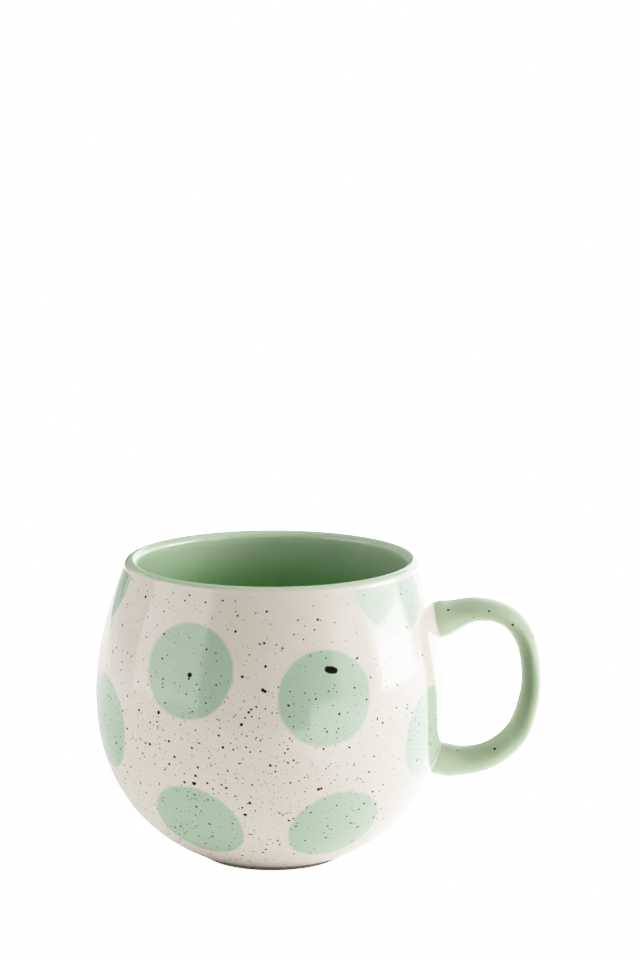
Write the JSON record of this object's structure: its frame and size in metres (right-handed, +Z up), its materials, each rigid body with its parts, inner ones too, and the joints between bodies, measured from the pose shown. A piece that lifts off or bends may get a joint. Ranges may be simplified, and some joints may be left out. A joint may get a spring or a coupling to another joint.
{
  "type": "stoneware mug",
  "caption": "Round-bellied stoneware mug with a strap handle, a speckled cream glaze with mint dots, a green lining and a small bare foot.",
  "frame": {"origin": "centre of the foot, on the surface that the mug stands on", "axes": "+Z up along the mug's axis, and +X towards the handle"},
  "size_m": [0.1325, 0.1048, 0.09],
  "materials": {
    "bare_clay": "unglazed fired stoneware, matt and slightly gritty",
    "cream_glaze": "glossy warm cream glaze with fine iron speckle",
    "green_glaze": "glossy transparent green glaze that pales over the lip",
    "sage_glaze": "glossy sage green glaze with a few iron specks",
    "mint_glaze": "glossy mint glaze with soft edges and fine iron speckle"
  },
  "bodies": {
    "root": {"stoneware_body": "bare_clay", "handle_clay": "bare_clay", "upper_slip_joint": "bare_clay", "lower_slip_joint": "bare_clay", "cream_glaze_coat": "cream_glaze", "green_glaze_lining": "green_glaze", "handle_glaze_sleeve": "sage_glaze", "rim_dot_1": "mint_glaze", "rim_dot_2": "mint_glaze", "rim_dot_3": "mint_glaze", "rim_dot_4": "mint_glaze", "shoulder_dot_1": "mint_glaze", "shoulder_dot_2": "mint_glaze", "shoulder_dot_3": "mint_glaze", "shoulder_dot_4": "mint_glaze", "belly_dot_1": "mint_glaze", "belly_dot_2": "mint_glaze", "belly_dot_3": "mint_glaze", "belly_dot_4": "mint_glaze", "base_dot_1": "mint_glaze", "base_dot_2": "mint_glaze", "base_dot_3": "mint_glaze", "base_dot_4": "mint_glaze", "base_dot_5": "mint_glaze", "base_dot_6": "mint_glaze"}
  },
  "joints": []
}
